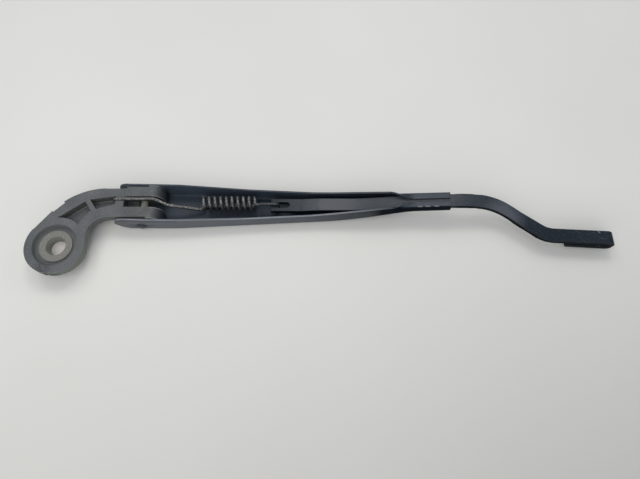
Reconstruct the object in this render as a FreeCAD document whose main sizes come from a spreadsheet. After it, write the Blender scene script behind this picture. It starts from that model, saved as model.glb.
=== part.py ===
import FreeCAD, Part
import math
import os
import re
import Sketcher
from FreeCAD import Placement, Rotation, Vector

# Rear wiper arm, lying on its outer side: the spindle bore's axis is Z, with zero where its cone
# meets the straight land, and the side that faces the glass is up. X runs along the arm to the
# blade hook. Lengths in mm, angles in degrees.
SIZES = {
    # cast head: boss round the spindle
    "boss_radius": 19.0,
    "ring_inner": 14.1,
    "hub_radius": 10.6,
    "hub_sink": 2.2,
    "groove_depth": 3.6,
    "neck_thickness": 11.0,
    "head_edge": 6.5,
    "mouth_radius": 6.4,
    "bore_radius": 5.2,
    "cone_depth": 3.2,
    "land_length": 2.4,
    "nut_radius": 10.5,
    # cast head: neck with two pockets, the rib between them and a cap notch
    "arm_offset": 30.5,
    "neck_angle": 53.0,
    "neck_outer": 44.0,
    "neck_inner": 13.0,
    "pocket_depth": 6.0,
    "rib_top_x": 16.1,
    "rib_top": 0.9,
    "rib_foot_x": 21.2,
    "rib_foot": 6.2,
    "rib_half_x": 1.45,
    "rib_half_y": 0.65,
    "pocket_curve": 19.8,
    "anchor_high": 4.0,
    "anchor_low": 1.8,
    "neck_inset": 1.2,
    "clip_length": 9.4,
    "clip_depth": 1.5,
    "clip_height": 6.2,
    "clip_drop": 0.8,
    "clip_shift": 1.1,
    # cast head: tongue between the ears
    "tongue_width": 21.8,
    "tongue_end": 65.0,
    "tongue_nose": 8.0,
    "pad_gap": 0.35,
    "cheek_start": 55.5,
    "slot_start": 40.0,
    "slot_width": 7.7,
    "slot_depth": 9.0,
    "slot_lead": 4.0,
    "hook_wall": 5.4,
    "saddle_depth": 1.6,
    "saddle_width": 2.6,
    # hinge
    "pivot_x": 50.7,
    "pivot_height": 5.9,
    "pivot_radius": 2.3,
    "running_gap": 0.05,
    "press_gap": 0.01,
    "hinge_room": 6.6,
    "stop_gap": 0.3,
    "rivet_head": 3.3,
    "rivet_dome": 1.2,
    "rivet_flat": 1.9,
    # pressed channel
    "arm_depth": 15.5,
    "sheet": 1.15,
    "channel_width": 27.0,
    "ear_height": 15.1,
    "waist_height": 11.7,
    "bow_height": 11.3,
    "bend_radius": 2.5,
    "ear_tip": 34.0,
    "ear_nose": 5.5,
    "ear_foot": 47.5,
    "ear_curve": 20.0,
    "window_half": 11.4,
    "window_lead": 1.0,
    "rim_start": 45.0,
    "taper_start": 75.0,
    "waist_x": 122.0,
    "bow_start": 164.0,
    "fold_start": 216.0,
    "crimp_start": 232.0,
    "crimp_end": 255.0,
    "crimp_gap": 2.2,
    "crimp_bend": 0.15,
    "crimp_room": 0.06,
    # flat blade rod
    "rod_width": 9.0,
    "rod_thickness": 3.0,
    "rod_start": 136.6,
    "eye_height": 8.6,
    "joggle_start": 157.0,
    "joggle_end": 168.0,
    "mid_height": 9.6,
    "climb_start": 195.0,
    "climb_end": 225.0,
    "crimp_height": 13.65,
    "crimp_slope": 4.3,
    "crest_x": 265.0,
    "kink_x": 299.0,
    "toe_height": 11.2,
    "side_bend": 20.0,
    "sweep_start": 273.5,
    "sweep_bend": 38.0,
    "sweep_angle": 36.5,
    "sweep_shift": 22.4,
    "toe_bend": 18.0,
    "toe_angle": 3.0,
    "tip_round": 2.0,
    "trim": 0.6,
    "hook_tip": 360.9,
    "hook_end": 330.6,
    "hook_gap": 2.6,
    "eye_land": 3.7,
    "eye_length": 9.0,
    "eye_width": 4.2,
    # tension spring
    "wire_radius": 1.1,
    "wire_touch": 0.05,
    "wire_lift": 0.4,
    "wire_bend": 1.5,
    "knee_bend": 5.0,
    "coil_radius": 3.85,
    "coil_pitch": 3.8,
    "coil_turns": 9.5,
    "coil_x": 90.0,
    "coil_shift": 2.1,
    "coil_height": 8.3,
    "coil_lead": 3.2,
    "lead_shift": 1.9,
    "knee_start": 60.0,
    "knee_end": 68.0,
    "knee_shift": 1.1,
    "knee_drop": 3.0,
    "anchor_drop": 4.3,
    "tail_x": 131.0,
}

# The wire is round to within a twentieth of a millimetre.
WIRE_SIDES = 10
NODES = ("arm_head", "pivot_rivet", "arm_channel", "blade_rod", "tension_spring")

doc = FreeCAD.newDocument("wiper_arm")
sheet = doc.addObject("Spreadsheet::Sheet", "sizes")
for row, (name, value) in enumerate(SIZES.items(), start=1):
    sheet.set(f"A{row}", name)
    sheet.set(f"B{row}", str(value))
    sheet.setAlias(f"B{row}", name)
doc.recompute()


def size(name):
    """A cell's value as a plain number."""
    return float(getattr(sheet, name))


def number(text):
    """The value of a sum of sizes such as 'arm_offset - tongue_width/2'."""
    total = 0.0
    for term in text.replace("-", "+-").split("+"):
        term = term.strip()
        if not term:
            continue
        sign = -1.0 if term.startswith("-") else 1.0
        name, mark, factor = re.match(r"([\w.]+)\s*([*/]?)\s*([\d.]*)", term.lstrip("- ")).groups()
        value = size(name) if name in SIZES else float(name)
        if mark:
            value = value * float(factor) if mark == "*" else value / float(factor)
        total += sign * value
    return total


def bound(text):
    """The same sum as an expression on the sheet's cells."""
    return re.sub(r"[a-z][a-z_]+", r"sizes.\g<0>", text)


# Places that several pieces share, as sums of sizes.
HUB_Z = "cone_depth"
RING_Z = "cone_depth + hub_sink"
NECK_Z = "cone_depth + hub_sink - neck_thickness"
OUTER_Z = "cone_depth + hub_sink - arm_depth"
PIVOT_Z = "cone_depth + hub_sink - arm_depth + pivot_height"
LOBE = "pivot_height - sheet - stop_gap"
STEP_X = "pivot_x - hinge_room"
TONGUE_LOW = "arm_offset - tongue_width/2"
TONGUE_HIGH = "arm_offset + tongue_width/2"
NECK_HIGH = "arm_offset + tongue_width/2 - neck_inset"
HOOK_WALL_X = "slot_start - hook_wall"
EYE_X = "rod_start + eye_land"
CHEEK_WIDTH = "channel_width - sheet*2 - pad_gap*2"


def new_body(name):
    body = doc.addObject("PartDesign::Body", name)
    body.Label = name
    return body


def new_sketch(body, name, role, lift="0", shift=("0", "0")):
    """An empty sketch on one of the body's own planes, lifted along the plane's normal."""
    sketch = body.newObject("Sketcher::SketchObject", name)
    plane = next(f for f in body.Origin.OriginFeatures if f.Role == role)
    sketch.AttachmentSupport = [(plane, "")]
    sketch.MapMode = "FlatFace"
    for axis, text in zip("xyz", (*shift, lift)):
        if text != "0":
            sketch.setExpression(f"AttachmentOffset.Base.{axis}", bound(text))
    return sketch


def pin_point(sketch, edge, end, x_text, y_text):
    """Ties one end of an edge to a place given by two sums of sizes."""
    for kind, text, axis in (("DistanceX", x_text, -2), ("DistanceY", y_text, -1)):
        value = number(text)
        if abs(value) < 1e-9:
            sketch.addConstraint(Sketcher.Constraint("PointOnObject", edge, end, axis))
            continue
        index = sketch.addConstraint(Sketcher.Constraint(kind, edge, end, value))
        sketch.setExpression(f"Constraints[{index}]", bound(text))


def set_radius(sketch, edge, text):
    index = sketch.addConstraint(Sketcher.Constraint("Radius", edge, number(text)))
    sketch.setExpression(f"Constraints[{index}]", bound(text))


def arc_through(start, end, radius, turn):
    """The short arc from start to end; turn is 1 anticlockwise, -1 clockwise."""
    chord = end - start
    half = chord.Length / 2
    left = Vector(-chord.y, chord.x, 0).normalize()
    rise = radius - math.sqrt(max(radius ** 2 - half ** 2, 0.0))
    middle = (start + end) / 2 - left * (turn * rise)
    return Part.Arc(start, middle, end)


def outline(sketch, corners):
    """A closed outline. A corner is (x, y), or (x, y, radius, turn) where an arc leads to it."""
    points = [Vector(number(c[0]), number(c[1]), 0) for c in corners]
    edges = []
    for i, corner in enumerate(corners):
        start, end = points[i - 1], points[i]
        if len(corner) == 2:
            edges.append(sketch.addGeometry(Part.LineSegment(start, end), False))
            continue
        arc = arc_through(start, end, number(corner[2]), corner[3])
        edges.append(sketch.addGeometry(arc, False))
    ends = [(1, 2) if len(c) == 2 or c[3] > 0 else (2, 1) for c in corners]
    for i in range(len(corners)):
        sketch.addConstraint(Sketcher.Constraint("Coincident", edges[i - 1], ends[i - 1][1],
                                                 edges[i], ends[i][0]))
    for i, corner in enumerate(corners):
        pin_point(sketch, edges[i], ends[i][1], corner[0], corner[1])
        if len(corner) == 4:
            set_radius(sketch, edges[i], corner[2])
    return sketch


def box_outline(sketch, x_low, x_high, y_low, y_high):
    return outline(sketch, [(x_low, y_low), (x_high, y_low), (x_high, y_high), (x_low, y_high)])


def circle(sketch, x_text, y_text, radius_text):
    centre = Vector(number(x_text), number(y_text), 0)
    edge = sketch.addGeometry(Part.Circle(centre, Vector(0, 0, 1), number(radius_text)), False)
    pin_point(sketch, edge, 3, x_text, y_text)
    set_radius(sketch, edge, radius_text)
    return sketch


def pad(body, name, sketch, length, side="One side", down=False):
    feature = body.newObject("PartDesign::Pad", name)
    feature.Profile = sketch
    feature.SideType = side
    feature.Reversed = down
    feature.setExpression("Length", bound(length))
    return feature


def pocket(body, name, sketch, length, side="One side"):
    feature = body.newObject("PartDesign::Pocket", name)
    feature.Profile = sketch
    feature.SideType = side
    feature.setExpression("Length", bound(length))
    return feature


def side_sketch(body, name):
    """A sketch in the arm's own middle plane: its x is X and its y is Z."""
    return new_sketch(body, name, "XZ_Plane", "-arm_offset")


def head_outline(sketch):
    """Boss and neck seen from the glass side: tangent arcs round the boss, straight to the step."""
    boss, inner, outer = size("boss_radius"), size("neck_inner"), size("neck_outer")
    low, high, step = number(TONGUE_LOW), number(NECK_HIGH), number(STEP_X)
    lean = math.radians(size("neck_angle"))
    along = Vector(math.cos(lean), math.sin(lean), 0)
    inner_x = math.sqrt((boss + inner) ** 2 - (low - inner) ** 2)
    waist = Vector(inner_x, low - inner, 0) * (boss / (boss + inner))
    shoulder = Vector(-boss * math.sin(lean), boss * math.cos(lean), 0)
    corner = shoulder + along * ((high - shoulder.y) / math.sin(lean))
    run = outer * math.tan(lean / 2)
    neck_start = Vector(corner.x + run, high, 0)
    neck_end = corner - along * run
    low_start = Vector(inner_x, low, 0)
    low_end = Vector(step, low, 0)
    high_end = Vector(step, high, 0)
    shapes = (Part.Arc(shoulder, Vector(0, -boss, 0), waist), arc_through(waist, low_start, inner, -1),
              Part.LineSegment(low_start, low_end), Part.LineSegment(low_end, high_end),
              Part.LineSegment(high_end, neck_start), arc_through(neck_start, neck_end, outer, 1),
              Part.LineSegment(neck_end, shoulder))
    round_boss, round_waist, below, step_line, above, round_neck, flank = (
        sketch.addGeometry(shape, False) for shape in shapes)
    joins = (("Tangent", round_boss, 2, round_waist, 2), ("Tangent", round_waist, 1, below, 1),
             ("Coincident", below, 2, step_line, 1), ("Coincident", step_line, 2, above, 1),
             ("Tangent", above, 2, round_neck, 1), ("Tangent", round_neck, 2, flank, 1),
             ("Tangent", flank, 2, round_boss, 1), ("Coincident", round_boss, 3, -1, 1),
             ("Vertical", step_line), ("Horizontal", below), ("Horizontal", above))
    for join in joins:
        sketch.addConstraint(Sketcher.Constraint(*join))
    pin_point(sketch, step_line, 1, STEP_X, TONGUE_LOW)
    index = sketch.addConstraint(Sketcher.Constraint("DistanceY", step_line, 2, high))
    sketch.setExpression(f"Constraints[{index}]", bound(NECK_HIGH))
    for edge, text in ((round_boss, "boss_radius"), (round_waist, "neck_inner"),
                       (round_neck, "neck_outer")):
        set_radius(sketch, edge, text)
    index = sketch.addConstraint(Sketcher.Constraint("Angle", flank, math.pi + lean))
    sketch.setExpression(f"Constraints[{index}]", "(180 + sizes.neck_angle) * 1 deg")
    return sketch


def round_outer_edge(body, plan):
    """Rounds the outer rim of the head, all but the straight step that faces the channel."""
    doc.recompute()
    outer_z, step = number(NECK_Z), number(STEP_X)
    names = []
    for i, edge in enumerate(plan.Shape.Edges, start=1):
        box = edge.BoundBox
        if abs(box.ZMax - outer_z) < 1e-4 and box.XMin < step - 1e-3:
            names.append(f"Edge{i}")
    feature = body.newObject("PartDesign::Fillet", "outer_round")
    feature.Base = (plan, names)
    feature.setExpression("Radius", bound("head_edge"))


def bore_and_groove(body):
    """Sunk hub face with its bore, the groove round the hub and the nut recess behind it."""
    floor = f"{RING_Z} - groove_depth"
    profile = new_sketch(body, "bore_profile", "XZ_Plane")
    outline(profile, [("0", RING_Z), ("ring_inner", RING_Z), ("ring_inner", floor), ("hub_radius", floor),
                      ("hub_radius", HUB_Z), ("mouth_radius", HUB_Z), ("bore_radius", "0"),
                      ("bore_radius", "-land_length"), ("nut_radius", "-land_length"),
                      ("nut_radius", NECK_Z), ("0", NECK_Z)])
    groove = body.newObject("PartDesign::Groove", "bore")
    groove.Profile = profile
    groove.ReferenceAxis = (profile, ["V_Axis"])


def neck_pockets(body):
    """Two weight pockets in the neck, with the slanted rib left between them."""
    rib_top_y, rib_foot_y = "arm_offset + rib_top", "arm_offset - rib_foot"
    near = new_sketch(body, "near_pocket_plan", "XY_Plane", RING_Z)
    outline(near, [("-boss_radius*0.0872", "boss_radius*0.9962", "boss_radius", 1),
                   ("rib_top_x - rib_half_x", f"{rib_top_y} - rib_half_y"),
                   ("rib_foot_x - rib_half_x", f"{rib_foot_y} - rib_half_y"),
                   ("boss_radius*0.682", "boss_radius*0.7314", "pocket_curve", 1)])
    pocket(body, "near_pocket", near, "pocket_depth")
    far = new_sketch(body, "far_pocket_plan", "XY_Plane", RING_Z)
    outline(far, [("rib_top_x + rib_half_x", f"{rib_top_y} + rib_half_y"),
                  (HOOK_WALL_X, "arm_offset + anchor_high"),
                  (HOOK_WALL_X, "arm_offset - anchor_low"),
                  ("rib_foot_x + rib_half_x", f"{rib_foot_y} + rib_half_y")])
    pocket(body, "far_pocket", far, "pocket_depth")


def cap_notches(body):
    """Two notches that a cap clips into: low on the boss rim and across the neck's outer curve."""
    plan = new_sketch(body, "boss_notch_plan", "XY_Plane", f"{RING_Z} - clip_drop")
    box_outline(plan, "clip_shift - clip_length/2", "clip_shift + clip_length/2",
                "-boss_radius - clip_depth", "clip_depth - boss_radius")
    pocket(body, "boss_notch", plan, "clip_height")
    slant = new_sketch(body, "neck_notch_plan", "XY_Plane")
    slant.AttachmentOffset = Placement(Vector(0, 0, 0), Rotation(Vector(0, 0, 1), 45))
    lean, high = "(sizes.neck_angle * 1 deg)", f"({bound(NECK_HIGH)})"
    curve_x = (f"({high} - sizes.boss_radius * cos{lean}) / tan{lean} - sizes.boss_radius * sin{lean}"
               f" + sizes.neck_outer * tan(sizes.neck_angle * 0.5 deg)")
    slant.setExpression("AttachmentOffset.Base.x", f"{curve_x} - sizes.neck_outer * cos(45 deg)")
    slant.setExpression("AttachmentOffset.Base.y", f"{high} - sizes.neck_outer * (1 - sin(45 deg))")
    slant.setExpression("AttachmentOffset.Base.z", bound(RING_Z))
    box_outline(slant, "-clip_length/2", "clip_length/2", "-clip_depth", "clip_depth")
    pocket(body, "neck_notch", slant, "clip_height")


def tongue(body):
    """Tongue that goes between the ears, rounded under the pivot so that the channel can swing."""
    back_x = f"{STEP_X} - 3"
    profile = side_sketch(body, "tongue_profile")
    foot_z = f"{OUTER_Z} + sheet + stop_gap"
    outline(profile, [(back_x, PIVOT_Z), ("pivot_x - pivot_height + sheet + stop_gap", PIVOT_Z),
                      ("pivot_x", foot_z, LOBE, 1), ("tongue_end", foot_z),
                      ("tongue_end", f"{RING_Z} - tongue_nose"),
                      ("tongue_end - tongue_nose", RING_Z, "tongue_nose", 1), (back_x, RING_Z)])
    pad(body, "tongue", profile, "tongue_width", "Symmetric")
    bearing = circle(side_sketch(body, "bearing_profile"), "pivot_x", PIVOT_Z,
                     "pivot_height - bend_radius - stop_gap/2")
    pad(body, "bearing", bearing, CHEEK_WIDTH, "Symmetric")
    cheek = side_sketch(body, "cheek_profile")
    cheek_z = f"{OUTER_Z} + bend_radius + stop_gap"
    outline(cheek, [("cheek_start", cheek_z), ("tongue_end", cheek_z),
                    ("tongue_end", f"{RING_Z} - tongue_nose"),
                    ("tongue_end - tongue_nose", RING_Z, "tongue_nose", 1), ("cheek_start", RING_Z)])
    pad(body, "cheek", cheek, CHEEK_WIDTH, "Symmetric")
    low, high = "arm_offset - slot_width/2", "arm_offset + slot_width/2"
    slot = new_sketch(body, "slot_plan", "XY_Plane", RING_Z)
    box_outline(slot, "slot_start", "tongue_end + 1", low, high)
    pocket(body, "slot", slot, "slot_depth")
    throat = new_sketch(body, "throat_plan", "XY_Plane", RING_Z)
    box_outline(throat, "pivot_x - slot_lead", "tongue_end + 1", low, high)
    pocket(body, "throat", throat, "arm_depth")
    saddle = new_sketch(body, "saddle_plan", "XY_Plane", RING_Z)
    box_outline(saddle, f"{HOOK_WALL_X} - 1", "slot_start + 1",
                "arm_offset + lead_shift - saddle_width/2", "arm_offset + lead_shift + saddle_width/2")
    pocket(body, "saddle", saddle, "saddle_depth")
    hole = circle(side_sketch(body, "pivot_hole_plan"), "pivot_x", PIVOT_Z, "pivot_radius + running_gap")
    pocket(body, "pivot_hole", hole, "channel_width", "Symmetric")


def build_head():
    """Die-cast head: boss, spindle bore, nut recess, ribbed neck and slotted tongue."""
    body = new_body("arm_head")
    shape = head_outline(new_sketch(body, "head_shape", "XY_Plane", RING_Z))
    plan = pad(body, "head_plan", shape, "neck_thickness", down=True)
    round_outer_edge(body, plan)
    bore_and_groove(body)
    neck_pockets(body)
    cap_notches(body)
    tongue(body)


def build_rivet():
    """Pivot rivet: plain shank through ears and tongue, with a low coned head on each ear."""
    body = new_body("pivot_rivet")
    profile = new_sketch(body, "rivet_profile", "XY_Plane", PIVOT_Z, ("pivot_x", "arm_offset"))
    near, far = "-channel_width/2 - press_gap", "channel_width/2 + press_gap"
    outline(profile, [("0", f"{near} - rivet_dome"), ("rivet_flat", f"{near} - rivet_dome"),
                      ("rivet_head", near),
                      ("pivot_radius", near), ("pivot_radius", far), ("rivet_head", far),
                      ("rivet_flat", f"{far} + rivet_dome"),
                      ("0", f"{far} + rivet_dome")])
    turned = body.newObject("PartDesign::Revolution", "rivet")
    turned.Profile = profile
    turned.ReferenceAxis = (profile, ["V_Axis"])


def rounded_path(points, radii):
    """Edges along straight stretches with tangent arcs at the inner corners."""
    edges = []
    at = points[0]
    for before, here, after, radius in zip(points, points[1:], points[2:], radii):
        into, out = (here - before).normalize(), (after - here).normalize()
        half = into.getAngle(out) / 2
        run = radius * math.tan(half)
        start, end = here - into * run, here + out * run
        inward = (out - into).normalize()
        middle = here + inward * (radius / math.cos(half) - radius)
        if (start - at).Length > 1e-6:
            edges.append(Part.makeLine(at, start))
        edges.append(Part.Arc(start, middle, end).toShape())
        at = end
    edges.append(Part.makeLine(at, points[-1]))
    return edges


def swept(edges, section, follow=False):
    """The solid that a closed section leaves along a path."""
    return Part.Wire(edges).makePipeShell([section], True, follow)


def rectangle(centre, half_a, half_b):
    """A closed rectangle round a centre, its two half sides given as vectors."""
    corners = [centre - half_a - half_b, centre + half_a - half_b,
               centre + half_a + half_b, centre - half_a + half_b]
    return Part.makePolygon(corners + corners[:1])


def keep_shape(name, shape):
    """Puts a finished solid into the document as a sub-part."""
    item = doc.addObject("Part::Feature", name)
    item.Label = name
    item.Shape = shape
    item.Placement = Placement(Vector(0, 0, 0), Rotation())


def between(x, stops):
    """Straight-line value between listed places, level beyond them."""
    if x <= stops[0][0]:
        return stops[0][1]
    for (x0, v0), (x1, v1) in zip(stops, stops[1:]):
        if x <= x1:
            return v0 + (v1 - v0) * (x - x0) / (x1 - x0)
    return stops[-1][1]


def eased(x, start, end):
    """0 before start, 1 after end, with a level run in and out."""
    s = min(max((x - start) / (end - start), 0.0), 1.0)
    return s * s * (3 - 2 * s)


def rod_stops():
    """Corners of the rod's middle line seen from the side, from the eye to the toe."""
    base = number(OUTER_Z)
    eye, mid = base + size("eye_height"), base + size("mid_height")
    crimp, toe = base + size("crimp_height"), base + size("toe_height")
    run = size("crest_x") - size("climb_end")
    crest = crimp + run * math.tan(math.radians(size("crimp_slope")))
    return [(size("rod_start"), eye), (size("joggle_start"), eye), (size("joggle_end"), mid),
            (size("climb_start"), mid), (size("climb_end"), crimp), (size("crest_x"), crest),
            (size("kink_x"), toe)]


def build_rod():
    """Flat bar: raised eye for the spring, joggle, crimped stretch, sweep to the side, folded hook."""
    mid_y, half = size("arm_offset"), size("rod_thickness") / 2
    fold = (size("hook_gap") + size("rod_thickness")) / 2
    tip_x = size("hook_tip") - half
    side = [Vector(x, mid_y, z) for x, z in rod_stops()]
    toe_z = side[-1].z
    side += [Vector(tip_x, mid_y, toe_z), Vector(tip_x, mid_y, toe_z - 2 * fold),
             Vector(size("hook_end"), mid_y, toe_z - 2 * fold)]
    bend = size("side_bend")
    side_path = rounded_path(side, [bend, bend, bend, bend, 3 * bend, 3 * bend, fold, fold])
    wide = size("sweep_shift") + 2 * size("rod_width")
    side_bar = swept(side_path, rectangle(side[0], Vector(0, wide, 0), Vector(0, 0, half)))
    lean = math.radians(size("sweep_angle"))
    first = Vector(size("sweep_start") + size("sweep_bend") * math.tan(lean / 2), mid_y, 0)
    second = first + Vector(size("sweep_shift") / math.tan(lean), -size("sweep_shift"), 0)
    lean_on = math.radians(size("toe_angle"))
    reach = size("hook_tip") + size("trim") - second.x
    start = Vector(size("rod_start") - size("trim"), mid_y, 0)
    end = second + Vector(reach, -reach * math.tan(lean_on), 0)
    plan_path = rounded_path([start, first, second, end], [size("sweep_bend"), size("toe_bend")])
    tall = Vector(0, 0, 2 * size("arm_depth"))
    plan_bar = swept(plan_path, rectangle(start, Vector(0, size("rod_width") / 2, 0), tall))
    corners = [e for e in plan_bar.Edges if e.BoundBox.ZLength > tall.z and e.BoundBox.XMin > size("hook_end")]
    plan_bar = plan_bar.makeFillet(size("tip_round"), corners)
    bar = side_bar.common(plan_bar)
    eye_radius = size("eye_width") / 2
    eye_z = side[0].z - 2 * half
    near = Vector(number(EYE_X) + eye_radius, mid_y, eye_z)
    far = Vector(number(EYE_X) + size("eye_length") - eye_radius, mid_y, eye_z)
    eye = Part.makeBox(far.x - near.x, 2 * eye_radius, 4 * half, near - Vector(0, eye_radius, 0))
    for centre in (near, far):
        eye = eye.fuse(Part.makeCylinder(eye_radius, 4 * half, centre))
    keep_shape("blade_rod", bar.cut(eye.removeSplitter()))


def channel_section(x):
    """One cross-section of the folded sheet: floor, lower bends, webs, upper folds and flanges."""
    t = size("sheet")
    outer_z = number(OUTER_Z)
    crimp_x, fold_x, bow_x = size("crimp_start"), size("fold_start"), size("bow_start")
    bar_half = size("rod_thickness") / 2 / math.cos(math.radians(size("crimp_slope"))) + size("crimp_room")
    bar_mid = between(x, rod_stops())
    crimp_half = size("rod_width") / 2 + size("crimp_room") + t
    width = between(x, [(size("taper_start"), size("channel_width") / 2), (crimp_x, crimp_half)]) - t / 2
    back = outer_z + eased(x, bow_x, crimp_x) * (bar_mid - bar_half - t - outer_z)
    tight = size("crimp_bend") + t / 2
    bend = between(x, [(bow_x, size("bend_radius") - t / 2), (crimp_x, tight)])
    fold_length = tight * math.pi / 2
    flange = crimp_half - t / 2 - tight - size("crimp_gap") / 2
    first_fold = math.radians(3)
    fold = first_fold + (math.pi / 2 - first_fold) * eased(x, fold_x, crimp_x)
    fold_radius = fold_length / fold
    folded_z = bar_mid + bar_half - (fold_radius - t / 2) * math.sin(fold)
    height = between(x, [(size("rim_start"), size("ear_height")), (size("waist_x"), size("waist_height")),
                         (bow_x, size("bow_height"))])
    open_z = back + height - flange - fold_length
    web_z = open_z + (folded_z - open_z) * eased(x, bow_x, fold_x)
    low = Vector(x, width - bend, back + t / 2 + bend)
    high = Vector(x, width - fold_radius, web_z)

    def turned(centre, radius, angle):
        return centre + Vector(0, radius * math.cos(angle), radius * math.sin(angle))

    def half_side(shift):
        """Points of one half from the floor out to the end of the flange."""
        over = turned(high, fold_radius + shift, fold)
        return {"foot": turned(low, bend + shift, -math.pi / 2), "bend": turned(low, bend + shift, -math.pi / 4),
                "knee": turned(low, bend + shift, 0), "top": turned(high, fold_radius + shift, 0),
                "fold": turned(high, fold_radius + shift, fold / 2), "over": over,
                "end": over + Vector(0, -math.sin(fold), math.cos(fold)) * flange}

    def half_edges(p):
        return [Part.Arc(p["foot"], p["bend"], p["knee"]).toShape(), Part.makeLine(p["knee"], p["top"]),
                Part.Arc(p["top"], p["fold"], p["over"]).toShape(), Part.makeLine(p["over"], p["end"])]

    def across(p):
        return {name: Vector(v.x, -v.y, v.z) for name, v in p.items()}

    def back_edges(p):
        return [Part.makeLine(p["end"], p["over"]), Part.Arc(p["over"], p["fold"], p["top"]).toShape(),
                Part.makeLine(p["top"], p["knee"]), Part.Arc(p["knee"], p["bend"], p["foot"]).toShape()]

    outer, inner = half_side(t / 2), half_side(-t / 2)
    far_outer, far_inner = across(outer), across(inner)
    edges = half_edges(outer) + [Part.makeLine(outer["end"], inner["end"])] + back_edges(inner)
    edges += [Part.makeLine(inner["foot"], far_inner["foot"])] + half_edges(far_inner)
    edges += [Part.makeLine(far_inner["end"], far_outer["end"])] + back_edges(far_outer)
    edges.append(Part.makeLine(far_outer["foot"], outer["foot"]))
    wire = Part.Wire(edges)
    wire.translate(Vector(0, size("arm_offset"), 0))
    return wire


def ear_trim():
    """What is cut away in front of the ears: round nose on top, long curve to the floor below."""
    outer_z, mid_y = number(OUTER_Z), size("arm_offset")
    top = outer_z + size("ear_height")
    nose, tip, clear = size("ear_nose"), size("ear_tip"), size("channel_width")
    low_start, low_end = Vector(tip, 0, top - nose), Vector(size("ear_foot"), 0, outer_z)
    chord = low_end - low_start
    sag = size("ear_curve") - math.sqrt(size("ear_curve") ** 2 - chord.Length ** 2 / 4)
    low_middle = (low_start + low_end) / 2 + Vector(chord.z, 0, -chord.x).normalize() * sag
    corner = Vector(tip + nose, 0, top)
    inset = nose * (1 - math.sqrt(0.5))
    far_top, far_low = Vector(tip - clear, 0, top + clear), Vector(tip - clear, 0, outer_z - clear)
    above, below = Vector(corner.x, 0, far_top.z), Vector(low_end.x, 0, far_low.z)
    edges = [Part.makeLine(far_top, above), Part.makeLine(above, corner),
             Part.Arc(corner, Vector(tip + inset, 0, top - inset), low_start).toShape(),
             Part.Arc(low_start, low_middle, low_end).toShape(), Part.makeLine(low_end, below),
             Part.makeLine(below, far_low), Part.makeLine(far_low, far_top)]
    trim = Part.Face(Part.Wire(edges)).extrude(Vector(0, 2 * clear, 0))
    trim.translate(Vector(0, mid_y - clear, 0))
    return trim


def build_channel():
    """Pressed channel: ears on the pivot, tapering trough, walls folded over the rod at the end."""
    bow, fold, crimp = size("bow_start"), size("fold_start"), size("crimp_start")
    stations = [size("ear_tip") - 1, size("rim_start"), size("taper_start"), size("waist_x"), bow]
    stations += [bow + (fold - bow) * i / 4 for i in range(1, 5)]
    stations += [fold + (crimp - fold) * i / 6 for i in range(1, 7)]
    stations.append(size("crimp_end"))
    channel = Part.makeLoft([channel_section(x) for x in stations], True, True)
    mid_y, tip, clear = size("arm_offset"), size("ear_tip"), size("channel_width")
    half, deep = size("window_half"), size("bend_radius")
    window_x = size("pivot_x") + size("window_lead")
    window = Part.makeBox(window_x - tip + clear, 2 * half, 2 * deep,
                          Vector(tip - clear, mid_y - half, number(OUTER_Z) - deep))
    hole = Part.makeCylinder(size("pivot_radius") + size("press_gap"), 2 * clear,
                             Vector(size("pivot_x"), mid_y - clear, number(PIVOT_Z)), Vector(0, 1, 0))
    keep_shape("arm_channel", channel.cut(ear_trim()).cut(window).cut(hole))


def build_spring():
    """Tension spring of one wire: long hook over the head's wall, close coils, hook in the rod's eye."""
    wire, touch, lift = size("wire_radius"), size("wire_touch"), size("wire_lift")
    bend, knee, mid_y = size("wire_bend"), size("knee_bend"), size("arm_offset")
    lead_y = mid_y + size("lead_shift")
    lead_z = number(RING_Z) - size("saddle_depth") + wire + lift
    anchor_x = number(HOOK_WALL_X) - touch - wire
    coil_y, coil_z = mid_y + size("coil_shift"), number(OUTER_Z) + size("coil_height")
    radius, pitch, turns = size("coil_radius"), size("coil_pitch"), size("coil_turns")
    start = Vector(size("coil_x"), coil_y, coil_z - radius)
    end = Vector(size("coil_x") + pitch * turns, coil_y, coil_z + radius)
    axial = pitch / math.hypot(pitch, 2 * math.pi * radius)
    around = math.sqrt(1 - axial ** 2)
    entry = start - Vector(axial, around, 0) * size("coil_lead")
    leave = end + Vector(axial, -around, 0) * size("coil_lead")
    hook = [Vector(anchor_x, lead_y, lead_z - size("anchor_drop")), Vector(anchor_x, lead_y, lead_z),
            Vector(size("knee_start"), lead_y, lead_z),
            Vector(size("knee_end"), mid_y - size("knee_shift"), lead_z - size("knee_drop")), entry, start]
    rod_top = rod_stops()[0][1] + size("rod_thickness") / 2
    rod_foot = rod_top - size("rod_thickness")
    eye_x = number(EYE_X) + touch + wire
    tail_z, under_z = rod_top + wire + lift, rod_foot - wire - lift
    tail = [end, leave, Vector(size("tail_x"), mid_y, tail_z), Vector(eye_x, mid_y, tail_z),
            Vector(eye_x, mid_y, under_z), Vector(size("rod_start") + wire, mid_y, under_z)]
    helix = Part.makeHelix(pitch, pitch * turns, radius)
    helix.rotate(Vector(0, 0, 0), Vector(0, 1, 0), 90)
    helix.translate(Vector(size("coil_x"), coil_y, coil_z))
    edges = rounded_path(hook, [bend, knee, knee, bend])
    edges += helix.Edges
    edges += rounded_path(tail, [bend, knee, bend, bend])
    around_wire = [2 * math.pi * i / WIRE_SIDES for i in range(WIRE_SIDES + 1)]
    ring = Part.makePolygon([hook[0] + Vector(math.cos(a), math.sin(a), 0) * wire for a in around_wire])
    keep_shape("tension_spring", swept(edges, ring, True))


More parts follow.
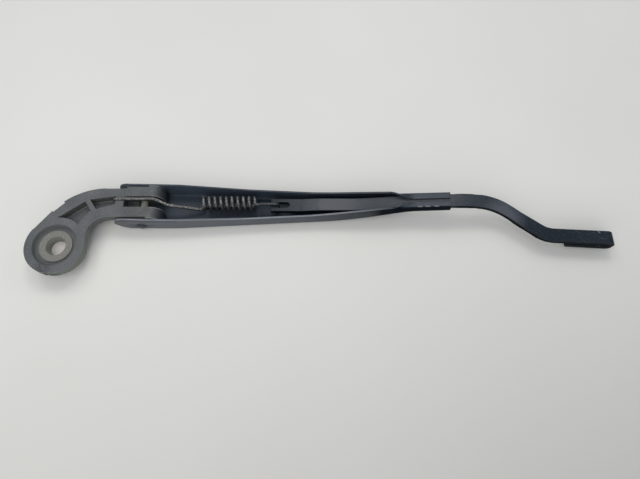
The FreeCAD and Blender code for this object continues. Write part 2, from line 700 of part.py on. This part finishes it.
build_head()
build_rivet()
build_rod()
build_channel()
build_spring()
doc.recompute()
for item in doc.Objects:
    if "Invalid" in item.State or "Error" in item.State:
        raise RuntimeError(f"{item.Name} failed: {item.State}")
os.makedirs("parts", exist_ok=True)
for name in NODES:
    shape = doc.getObject(name).Shape
    if shape.isNull() or not shape.isValid() or len(shape.Solids) != 1:
        raise RuntimeError(f"{name} is not one valid solid")
for name in NODES:
    doc.getObject(name).Shape.exportStep(f"parts/{name}.step")
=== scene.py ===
import math
import typing

import bmesh
import bpy
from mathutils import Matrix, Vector
from mathutils.bvhtree import BVHTree


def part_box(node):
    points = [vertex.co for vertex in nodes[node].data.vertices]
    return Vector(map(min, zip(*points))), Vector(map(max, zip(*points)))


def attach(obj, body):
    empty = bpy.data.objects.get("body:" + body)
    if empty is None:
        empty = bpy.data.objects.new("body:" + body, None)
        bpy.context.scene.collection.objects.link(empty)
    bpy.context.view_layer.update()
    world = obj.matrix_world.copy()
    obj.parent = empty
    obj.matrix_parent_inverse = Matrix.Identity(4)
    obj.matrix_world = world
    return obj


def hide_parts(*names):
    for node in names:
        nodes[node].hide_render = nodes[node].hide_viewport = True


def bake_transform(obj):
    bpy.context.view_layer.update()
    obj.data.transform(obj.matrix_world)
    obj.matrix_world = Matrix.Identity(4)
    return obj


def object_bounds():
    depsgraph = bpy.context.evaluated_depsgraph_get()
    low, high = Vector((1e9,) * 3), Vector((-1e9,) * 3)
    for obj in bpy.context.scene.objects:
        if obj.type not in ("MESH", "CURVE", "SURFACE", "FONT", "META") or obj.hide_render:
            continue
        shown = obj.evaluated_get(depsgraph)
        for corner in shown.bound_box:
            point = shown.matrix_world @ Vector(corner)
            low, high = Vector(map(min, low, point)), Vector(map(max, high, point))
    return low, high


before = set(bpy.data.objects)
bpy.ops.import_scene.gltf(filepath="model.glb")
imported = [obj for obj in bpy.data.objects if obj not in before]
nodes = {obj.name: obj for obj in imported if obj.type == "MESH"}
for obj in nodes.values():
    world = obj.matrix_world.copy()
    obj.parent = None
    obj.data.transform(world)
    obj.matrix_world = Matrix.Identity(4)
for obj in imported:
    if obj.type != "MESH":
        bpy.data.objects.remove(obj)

MM = 0.001
rest_low, rest_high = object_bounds()


def beside(origin, along, across, up=0.0):
    """The place so many mm along the arm, across it and up from another place."""
    return origin + Vector((along, across, up)) * MM


# Places on the arm, read from the parts in model.glb.
rivet_low, rivet_high = (Vector(corner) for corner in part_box("pivot_rivet"))
channel_high = Vector(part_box("arm_channel")[1])
bore = Vector((0.0, 0.0, 0.0))
pivot = (rivet_low + rivet_high) / 2
crimp_end = Vector((channel_high.x, pivot.y, 0.0))
hook_tip = Vector(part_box("blade_rod")[1])
wire_end = Vector(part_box("tension_spring")[1])
ring_scuff = beside(bore, -6.0, -16.5)
# The middle of the table's painted glow, seen through the bore.
bore_light = beside(bore, -5.0, 3.3)
tongue_nose = beside(pivot, 17.5, 0.0)
near_ear = beside(pivot, 0.0, -18.0)
near_rim = beside(pivot, 0.0, -13.0, 16.2)
far_wall = beside(pivot, 0.0, 15.0)
rod_bow = beside(crimp_end, -75.0, 0.0)
rod_middle = beside(crimp_end, -39.0, 0.0)
crimp_roll = beside(crimp_end, -13.0, -6.6)
rod_bend = beside(crimp_end, 35.0, -10.0)

# Real sizes that the finishes and the small pieces follow, in mm.
BOSS_RADIUS = 19.0
RING_INNER = 14.1
HUB_RADIUS = 10.6
BORE_EDGE = 6.0
SHANK_HALF = 13.1
STAKE_STEPS = (9.2, 14.9, 19.9)
STAKE_OFFSET = 4.4
STAKE_LENGTHS = (4.2, 1.0, 0.3)
STAKE_DROP = 20.0
MERGE_REACH = 0.002

# Edge rounds: node, widths in mm from the first choice down, and the angle in degrees under which
# the triangles of a face are taken as one.
EDGE_ROUNDS = (("arm_head", (0.5, 0.4, 0.3), 0.6),
               ("arm_channel", (0.5, 0.4, 0.3), 1.5),
               ("blade_rod", (0.4, 0.3), 0.6),
               ("pivot_rivet", (0.3, 0.2), 0.6))
SHARP_EDGE_DEG = 32.0

# The table and the middle of its greyer front, in metres; the front is measured from the middle.
TABLE_SIZE = 4.0
TABLE_MIDDLE = Vector((0.17, 0.0, 0.0))
TABLE_FRONT = Vector((0.30, -0.32, 0.0))

# Soft lights: name, place in metres, power in watts, width and depth in metres.
LIGHTS = (("back", (0.08, 0.55, 0.9), 2.2, 1.0, 0.8),
          ("front", (0.0, -0.28, 0.80), 2.4, 0.8, 0.6),
          ("low_front", (0.10, -0.75, 0.48), 2.0, 1.0, 0.5),
          ("left_pane", (-0.18, 0.40, 0.72), 0.5, 0.2, 0.22),
          ("middle_pane", (0.24, 0.40, 0.72), 0.7, 0.22, 0.22),
          ("right_pane", (0.86, 0.44, 0.66), 0.3, 0.24, 0.12))
LIGHTS_AIM = Vector((0.17, 0.02, 0.0))
ROOM_STRENGTH = 0.36

# The camera as it stood for the photograph, in metres, degrees and mm of film.
CAMERA_PLACE = (0.1695, -0.1130, 0.3031)
CAMERA_TILT = 21.38
CAMERA_LENS = 28.125
CAMERA_FILM = 36.0

# How much each direction counts when a spot's distance from a place is measured.
FLAT = (1.0, 1.0, 0.0)
ALONG = (1.0, 0.0, 0.0)
ACROSS = (0.0, 1.0, 0.0)
NEAR_WALL = (0.08, 1.0, 0.0)
NEAR_RIM = (0.05, 0.4, 1.0)
CRIMP_SIDE = (0.06, 1.0, 0.0)
TABLE_WIDE = (0.5, 1.0, 0.0)

# How squarely a face looks up or down, from where a zone starts to where it covers fully.
LYING = (0.45, 0.9)
STANDING = (0.8, 0.4)
SLOPING = (0.97, 0.6)

# Where in the noise the drift of a gloss starts and ends.
DRIFT = (0.35, 0.65)

# The Mix node's colour sockets: two inputs and the output.
MIX_UNDER, MIX_OVER, MIX_RESULT = 6, 7, 2


class Zone(typing.NamedTuple):
    """Where something covers a surface: in patches, on faces that lie or stand, round a place.

    cut is where in the noise a patch starts and where it covers fully.
    """
    amount: float
    patch_mm: float = 0.0
    cut: tuple = (0.4, 0.68)
    detail: float = 3.0
    faces: tuple = ()
    centre: typing.Optional[Vector] = None
    axes: tuple = FLAT
    reach_mm: float = 0.0
    fade_mm: float = 0.0


def colour(text):
    """A hex sRGB colour as linear RGBA."""
    parts = [int(text[i:i + 2], 16) / 255 for i in (1, 3, 5)]
    linear = [c / 12.92 if c <= 0.04045 else ((c + 0.055) / 1.055) ** 2.4 for c in parts]
    return (*linear, 1.0)


def add(tree, kind, inputs=None, **settings):
    """Adds a node with its settings, gives each input a value or a link, and returns its outputs."""
    made = tree.nodes.new(kind)
    for name, value in settings.items():
        setattr(made, name, value)
    for socket, value in (inputs or {}).items():
        if isinstance(value, bpy.types.NodeSocket):
            tree.links.new(value, made.inputs[socket])
        else:
            made.inputs[socket].default_value = value
    return made.outputs


def cover(tree, zone):
    """How far a zone covers at each spot of the surface, from 0 to its amount."""
    spot = add(tree, "ShaderNodeTexCoord")
    shares = []
    if zone.patch_mm:
        starts, full = zone.cut
        cloud = add(tree, "ShaderNodeTexNoise",
                    {"Vector": spot["Object"], "Scale": 1 / (zone.patch_mm * MM), "Detail": zone.detail})
        shares.append(add(tree, "ShaderNodeMapRange",
                          {"Value": cloud["Fac"], "From Min": starts, "From Max": full}))
    if zone.faces:
        starts, full = zone.faces
        slope = add(tree, "ShaderNodeSeparateXYZ", {"Vector": spot["Normal"]})
        lying = add(tree, "ShaderNodeMath", {0: slope["Z"]}, operation="ABSOLUTE")
        shares.append(add(tree, "ShaderNodeMapRange",
                          {"Value": lying["Value"], "From Min": starts, "From Max": full}))
    if zone.centre is not None:
        inner, outer = zone.reach_mm * MM, (zone.reach_mm + zone.fade_mm) * MM
        apart = add(tree, "ShaderNodeVectorMath",
                    {0: spot["Object"], 1: zone.centre}, operation="SUBTRACT")
        apart = add(tree, "ShaderNodeVectorMath",
                    {0: apart["Vector"], 1: zone.axes}, operation="MULTIPLY")
        apart = add(tree, "ShaderNodeVectorMath", {0: apart["Vector"]}, operation="LENGTH")
        shares.append(add(tree, "ShaderNodeMapRange",
                          {"Value": apart["Value"], "From Min": inner, "From Max": outer,
                           "To Min": 1.0, "To Max": 0.0}))
    whole = zone.amount
    for share in shares:
        product = add(tree, "ShaderNodeMath", {0: whole, 1: share["Result"]}, operation="MULTIPLY")
        whole = product["Value"]
    return whole


def finish(name, base, roughness, tones=(), gloss=None, grain=None, metallic=0.0, specular=0.5,
           dull=None):
    """A surface finish: its colour, other tones over it in zones, gloss that drifts, and a fine relief.

    gloss is the drift's size in mm and its two roughnesses, grain the relief's size and depth in mm,
    and dull the zone where the sheen is taken away.
    """
    material = bpy.data.materials.new(name)
    material.use_nodes = True
    tree = material.node_tree
    surface = tree.nodes["Principled BSDF"].inputs
    surface["Base Color"].default_value = colour(base)
    surface["Roughness"].default_value = roughness
    surface["Metallic"].default_value = metallic
    surface["Specular IOR Level"].default_value = specular
    shade = colour(base)
    for tone, zone in tones:
        mix = add(tree, "ShaderNodeMix", {0: cover(tree, zone), MIX_UNDER: shade, MIX_OVER: colour(tone)},
                  data_type="RGBA")
        shade = mix[MIX_RESULT]
        tree.links.new(shade, surface["Base Color"])
    spot = add(tree, "ShaderNodeTexCoord")["Object"]
    if gloss:
        size_mm, glossy, matt = gloss
        drift = add(tree, "ShaderNodeTexNoise",
                    {"Vector": spot, "Scale": 1 / (size_mm * MM), "Detail": 3.0})
        rough = add(tree, "ShaderNodeMapRange",
                    {"Value": drift["Fac"], "From Min": DRIFT[0], "From Max": DRIFT[1],
                     "To Min": glossy, "To Max": matt})
        tree.links.new(rough["Result"], surface["Roughness"])
    if grain:
        size_mm, depth_mm = grain
        fine = add(tree, "ShaderNodeTexNoise",
                   {"Vector": spot, "Scale": 1 / (size_mm * MM), "Detail": 2.0})
        relief = add(tree, "ShaderNodeBump",
                     {"Height": fine["Fac"], "Distance": depth_mm * MM, "Strength": 1.0})
        tree.links.new(relief["Normal"], surface["Normal"])
    if dull:
        sheen = add(tree, "ShaderNodeMapRange",
                    {"Value": cover(tree, dull), "To Min": specular, "To Max": 0.0})
        tree.links.new(sheen["Result"], surface["Specular IOR Level"])
    return material


# Die casting under a worn satin grey coat: grainy and dusty, dirty round the pivot, rubbed paler on the
# hub.
# Painted shade makes its standing faces a darker olive and its tongue's nose dark; painted light makes
# the boss's sides and the groove round the hub paler. The grain is coarser than life, to show.
cast_coat = finish("die_cast_grey_coat", "#575b5f", 0.55, (
    ("#64676a", Zone(1.0, patch_mm=16.0)),
    ("#8a8b88", Zone(0.32, patch_mm=1.1, cut=(0.5, 0.7), detail=4.0)),
    ("#45494d", Zone(0.32, patch_mm=1.4, cut=(0.5, 0.7), detail=4.0)),
    ("#4d4b45", Zone(0.45, patch_mm=7.0, cut=(0.4, 0.62), centre=pivot, reach_mm=12.0, fade_mm=10.0)),
    # Painted shade: the standing faces a darker olive.
    ("#50544d", Zone(0.45, faces=STANDING)),
    # Painted light: the boss's standing faces paler.
    ("#83867b", Zone(0.45, faces=STANDING, centre=bore, reach_mm=BOSS_RADIUS + 1, fade_mm=3.0)),
    # Painted shade: the tongue's nose dark, on its sloping faces and all round it.
    ("#2b3137", Zone(0.75, faces=SLOPING, centre=tongue_nose, axes=ALONG, reach_mm=8.0, fade_mm=3.0)),
    ("#30363c", Zone(0.7, centre=tongue_nose, axes=ALONG, reach_mm=4.0, fade_mm=6.0)),
    # Painted light: the groove round the hub a lighter grey, and its standing walls paler still.
    ("#5f6265", Zone(0.7, centre=bore, reach_mm=RING_INNER - 0.2, fade_mm=0.4)),
    ("#85888a", Zone(0.5, faces=STANDING, centre=bore, reach_mm=RING_INNER + 0.3, fade_mm=0.3)),
    ("#7c7b76", Zone(0.85, centre=bore, reach_mm=HUB_RADIUS - 0.1, fade_mm=0.5)),
    ("#9a9992", Zone(0.4, patch_mm=1.1, cut=(0.48, 0.64), centre=bore, reach_mm=HUB_RADIUS - 0.4,
                     fade_mm=0.4)),
    ("#7d8077", Zone(0.8, centre=bore, reach_mm=BORE_EDGE, fade_mm=0.6)),
    ("#3b3e41", Zone(0.75, patch_mm=1.4, cut=(0.42, 0.56), centre=ring_scuff, reach_mm=3.0, fade_mm=4.0)),
), gloss=(6.0, 0.46, 0.62), grain=(0.5, 0.014), specular=0.35)

# Satin blue-black paint on pressed sheet. Painted shade darkens its lying faces, less by the ear, and its
# standing faces towards the crimp, and blackens the crimp's rolled-under near side; painted light makes
# its standing faces paler, a painted highlight runs along the near rim and a painted sheen over the
# crimp's top.
# The near wall by the ear is paler grey, with dust and a painted reflection of the table.
sheet_paint = finish("satin_black_sheet_paint", "#1c2938", 0.45, (
    ("#243242", Zone(1.0, patch_mm=24.0)),
    # Painted shade: the lying faces darker.
    ("#0f1822", Zone(0.4, faces=LYING)),
    # Painted light: the lying faces by the ear less dark.
    ("#4d5763", Zone(0.4, faces=LYING, centre=near_ear, axes=ALONG, reach_mm=20.0, fade_mm=45.0)),
    # Painted light: the standing faces paler, most by the ear.
    ("#4a5664", Zone(0.8, faces=STANDING, centre=near_ear, axes=ALONG, reach_mm=30.0, fade_mm=165.0)),
    # Dust and a painted reflection of the table: the near wall paler grey by the ear.
    ("#6c6b6d", Zone(0.55, faces=STANDING, centre=near_ear, axes=NEAR_WALL, reach_mm=5.0, fade_mm=20.0)),
    # Painted highlight: the near rim paler.
    ("#878c94", Zone(0.55, faces=LYING, centre=near_rim, axes=NEAR_RIM, reach_mm=9.0, fade_mm=2.5)),
    # Painted sheen: the crimp's top faces paler.
    ("#545a64", Zone(0.55, faces=LYING, centre=crimp_end, axes=ALONG, reach_mm=22.0, fade_mm=6.0)),
    # Painted shade: the standing faces darker towards the crimp.
    ("#0a0f16", Zone(0.8, faces=STANDING, centre=crimp_end, axes=ALONG, reach_mm=46.0, fade_mm=50.0)),
    ("#6d6c68", Zone(0.14, patch_mm=1.5, cut=(0.5, 0.72), detail=4.0)),
    # Painted shade: the crimp's rolled-under near side black.
    ("#0a0f16", Zone(0.85, centre=crimp_roll, axes=CRIMP_SIDE, reach_mm=1.9, fade_mm=0.6)),
), gloss=(9.0, 0.4, 0.5), grain=(0.7, 0.006), specular=0.25,
    dull=Zone(0.95, centre=crimp_roll, axes=CRIMP_SIDE, reach_mm=1.9, fade_mm=0.6))

# The same paint on the flat bar: a little glossier with handling, and chipped at the hook. A painted
# sheen makes it greyer along its middle and where it bends; painted shade makes it darker towards the
# hook and black on its sides, which are dull.
bar_paint = finish("satin_black_bar_paint", "#13202b", 0.36, (
    ("#1a2833", Zone(1.0, patch_mm=30.0)),
    # Painted sheen: greyer along the middle of the bar.
    ("#4b5058", Zone(0.6, centre=rod_middle, axes=ALONG, reach_mm=44.0, fade_mm=34.0)),
    # Painted sheen: greyer where the bar bends aside.
    ("#5a5f69", Zone(0.7, centre=rod_bend, reach_mm=6.0, fade_mm=10.0)),
    # Painted highlight: paler round the joggle inside the channel.
    ("#64666b", Zone(0.4, centre=rod_bow, axes=ALONG, reach_mm=5.0, fade_mm=20.0)),
    # Painted shade: darker towards the hook.
    ("#0a141d", Zone(0.35, centre=hook_tip, axes=ALONG, reach_mm=38.0, fade_mm=18.0)),
    ("#767673", Zone(0.16, patch_mm=0.9, cut=(0.5, 0.7), detail=4.0)),
    ("#83868a", Zone(0.8, patch_mm=2.2, cut=(0.63, 0.68), detail=2.0, centre=hook_tip, axes=ALONG,
                     reach_mm=5.0, fade_mm=26.0)),
    # Painted shade: the standing faces black.
    ("#05070a", Zone(0.95, faces=STANDING)),
), gloss=(22.0, 0.34, 0.4), grain=(0.6, 0.005), specular=0.22, dull=Zone(0.9, faces=STANDING))

# Phosphated spring wire: dark and dull, with pale spots on the crowns of the coils, dust and in part a
# painted highlight, and a tail in the bar's eye darkened by painted shade.
wire_coat = finish("phosphated_spring_wire", "#34373b", 0.42, (
    ("#4d5054", Zone(1.0, patch_mm=5.0)),
    # Dust and painted highlight: pale spots on the lying faces.
    ("#aaa69e", Zone(0.75, patch_mm=0.9, cut=(0.45, 0.6), faces=LYING)),
    # Painted shade: the tail in the bar's eye darker.
    ("#23282e", Zone(0.85, centre=wire_end, axes=ALONG, reach_mm=14.0, fade_mm=3.0)),
), grain=(0.3, 0.01), metallic=0.25)

# Plain steel rivet: a pale shank between two heads that were painted with the channel.
plain_steel = finish("plain_steel_painted_heads", "#2a2f35", 0.42, (
    ("#b3aea4", Zone(1.0, centre=pivot, axes=ACROSS, reach_mm=SHANK_HALF, fade_mm=0.1)),
))

# Paint scuffed through on the stakes of the crimp, which show as three pale dashes.
scuffed_paint = finish("scuffed_black_paint", "#686d73", 0.5, (
    ("#86888a", Zone(0.6, patch_mm=0.7, cut=(0.45, 0.61), detail=4.0)),
), specular=0.4)

# Coat and paint paler along the edges, rubbed and in part a painted highlight, so they show as thin lines
# of light.
coat_edge = finish("rubbed_and_highlighted_coat_edge", "#7a7c7b", 0.5, specular=0.4)
paint_edge = finish("rubbed_and_highlighted_paint_edge", "#868c95", 0.36, (
    # The painted highlight kept off the far wall's edge and, fading, towards the crimp.
    ("#1b2430", Zone(0.85, centre=far_wall, axes=ACROSS, reach_mm=12.0, fade_mm=4.0)),
    ("#1b2430", Zone(0.85, centre=crimp_end, axes=ALONG, reach_mm=28.0, fade_mm=50.0)),
), dull=Zone(0.9, centre=crimp_roll, axes=CRIMP_SIDE, reach_mm=2.0, fade_mm=0.8))
bar_edge = finish("rubbed_and_highlighted_bar_edge", "#2a323a", 0.36, specular=0.2)

# Matt pale laminate, greyer towards the front with painted shade.
table_top = finish("matt_pale_table", "#e6e6e3", 0.75, (
    ("#ebebe9", Zone(1.0, patch_mm=260.0)),
    ("#b1b0ad", Zone(1.0, centre=TABLE_FRONT, axes=TABLE_WIDE, reach_mm=90.0, fade_mm=290.0)),
), specular=0.2)

NODE_FINISHES = {"arm_head": (cast_coat, coat_edge), "arm_channel": (sheet_paint, paint_edge),
                 "blade_rod": (bar_paint, bar_edge), "pivot_rivet": (plain_steel, bar_edge)}


def paint(obj, material):
    """Gives an object one finish in place of any that it has."""
    obj.data.materials.clear()
    obj.data.materials.append(material)


def stands_off(obj, reach_mm):
    """Whether an edge round leaves a corner further than a reach from the CAD surface."""
    surface = BVHTree.FromPolygons([v.co for v in obj.data.vertices],
                                   [f.vertices[:] for f in obj.data.polygons])
    rounded = obj.evaluated_get(bpy.context.evaluated_depsgraph_get())
    furthest = max(surface.find_nearest(v.co)[3] for v in rounded.to_mesh().vertices)
    rounded.to_mesh_clear()
    return furthest > reach_mm * MM


def round_edges(node, widths_mm, merge_deg, edge):
    """Edge rounds on a CAD node as it stands, in the rubbed edge finish with its painted highlight, as
    wide as its corners take.
    """
    obj = nodes[node]
    obj.data.materials.append(edge)
    weld = obj.modifiers.new("weld", "WELD")
    weld.merge_threshold = MERGE_REACH * MM
    flat = obj.modifiers.new("flat_faces", "DECIMATE")
    flat.decimate_type = "DISSOLVE"
    flat.angle_limit = math.radians(merge_deg)
    bevel = obj.modifiers.new("edge_round", "BEVEL")
    bevel.segments = 2
    bevel.limit_method = "ANGLE"
    bevel.angle_limit = math.radians(SHARP_EDGE_DEG)
    bevel.offset_type = "ABSOLUTE"
    bevel.loop_slide = False
    bevel.harden_normals = True
    bevel.use_clamp_overlap = False
    bevel.material = 1
    for width in widths_mm:
        bevel.width = width * MM
        if not stands_off(obj, width):
            return
    bevel.use_clamp_overlap = True


def new_piece(name, form):
    """An object of its own from a finished bmesh."""
    mesh = bpy.data.meshes.new(name)
    form.to_mesh(mesh)
    form.free()
    for face in mesh.polygons:
        face.use_smooth = True
    obj = bpy.data.objects.new(name, mesh)
    bpy.context.collection.objects.link(obj)
    return obj


def crimp_stakes():
    """Three small stakes along the near flange of the crimp, dropped onto it from above.

    Each is a ball 1 mm across, stretched to its length, width and height.
    """
    over_arm = Vector((crimp_end.x, crimp_end.y, channel_high.z + STAKE_DROP * MM))
    for number, step in enumerate(STAKE_STEPS, start=1):
        above = beside(over_arm, -step, -STAKE_OFFSET)
        hit, place, _, _ = nodes["arm_channel"].ray_cast(above, Vector((0, 0, -1)))
        if not hit:
            continue
        form = bmesh.new()
        bmesh.ops.create_uvsphere(form, u_segments=16, v_segments=8, radius=0.5 * MM)
        bmesh.ops.scale(form, vec=STAKE_LENGTHS, verts=form.verts)
        bmesh.ops.translate(form, vec=place, verts=form.verts)
        stake = new_piece(f"crimp_stake_{number}", form)
        paint(stake, scuffed_paint)
        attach(stake, "arm")


def spring_wire():
    """The spring's wire as a smooth piece of its own, in place of the CAD spring."""
    form = bmesh.new()
    form.from_mesh(nodes["tension_spring"].data)
    bmesh.ops.remove_doubles(form, verts=form.verts, dist=MERGE_REACH * MM)
    wire = new_piece("spring_wire", form)
    paint(wire, wire_coat)
    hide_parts("tension_spring")
    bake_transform(wire)


def pale_table():
    """The table the arm lies on: glowing with painted light where it shows through the bore, and seen
    from above only.
    """
    bpy.ops.mesh.primitive_plane_add(size=TABLE_SIZE, location=(TABLE_MIDDLE.x, 0.0, rest_low[2]))
    table = bpy.context.object
    table.name = "table"
    paint(table, table_top)
    tree = table_top.node_tree
    top = tree.nodes["Principled BSDF"]
    # Painted light: the table glows a little in a soft spot under the bore.
    top.inputs["Emission Color"].default_value = colour("#e8e0d8")
    lit = Zone(0.32, centre=bore_light - TABLE_MIDDLE, reach_mm=1.5, fade_mm=8.5)
    tree.links.new(cover(tree, lit), top.inputs["Emission Strength"])
    under = add(tree, "ShaderNodeBsdfTransparent")
    side = add(tree, "ShaderNodeNewGeometry")
    both = add(tree, "ShaderNodeMixShader",
               {0: side["Backfacing"], 1: top.outputs["BSDF"], 2: under["BSDF"]})
    tree.links.new(both["Shader"], tree.nodes["Material Output"].inputs["Surface"])


def studio():
    """Wide soft lights behind and in front, three window panes for the sheen, a pale room."""
    world = bpy.data.worlds.new("room")
    bpy.context.scene.world = world
    world.use_nodes = True
    room = world.node_tree.nodes["Background"].inputs
    room["Color"].default_value = colour("#dde8f5")
    room["Strength"].default_value = ROOM_STRENGTH
    for name, place, power, width, depth in LIGHTS:
        lamp = bpy.data.lights.new(name, "AREA")
        lamp.energy = power
        lamp.shape = "RECTANGLE"
        lamp.size = width
        lamp.size_y = depth
        lamp.color = colour("#fffaf3")[:3]
        holder = bpy.data.objects.new(name, lamp)
        bpy.context.collection.objects.link(holder)
        holder.location = place
        holder.rotation_euler = (LIGHTS_AIM - Vector(place)).to_track_quat("-Z", "Y").to_euler()


def photo_camera():
    """A camera above the arm, tilted a little from straight down."""
    data = bpy.data.cameras.new("photo")
    data.sensor_width = CAMERA_FILM
    data.lens = CAMERA_LENS
    data.clip_start = 0.01
    holder = bpy.data.objects.new("photo", data)
    bpy.context.collection.objects.link(holder)
    holder.location = CAMERA_PLACE
    holder.rotation_euler = (math.radians(CAMERA_TILT), 0.0, 0.0)
    bpy.context.scene.camera = holder


for node, (body_finish, _) in NODE_FINISHES.items():
    paint(nodes[node], body_finish)
crimp_stakes()
spring_wire()
for node, widths, merge in EDGE_ROUNDS:
    round_edges(node, widths, merge, NODE_FINISHES[node][1])
pale_table()
studio()
photo_camera()
bpy.context.scene.view_settings.view_transform = "Standard"
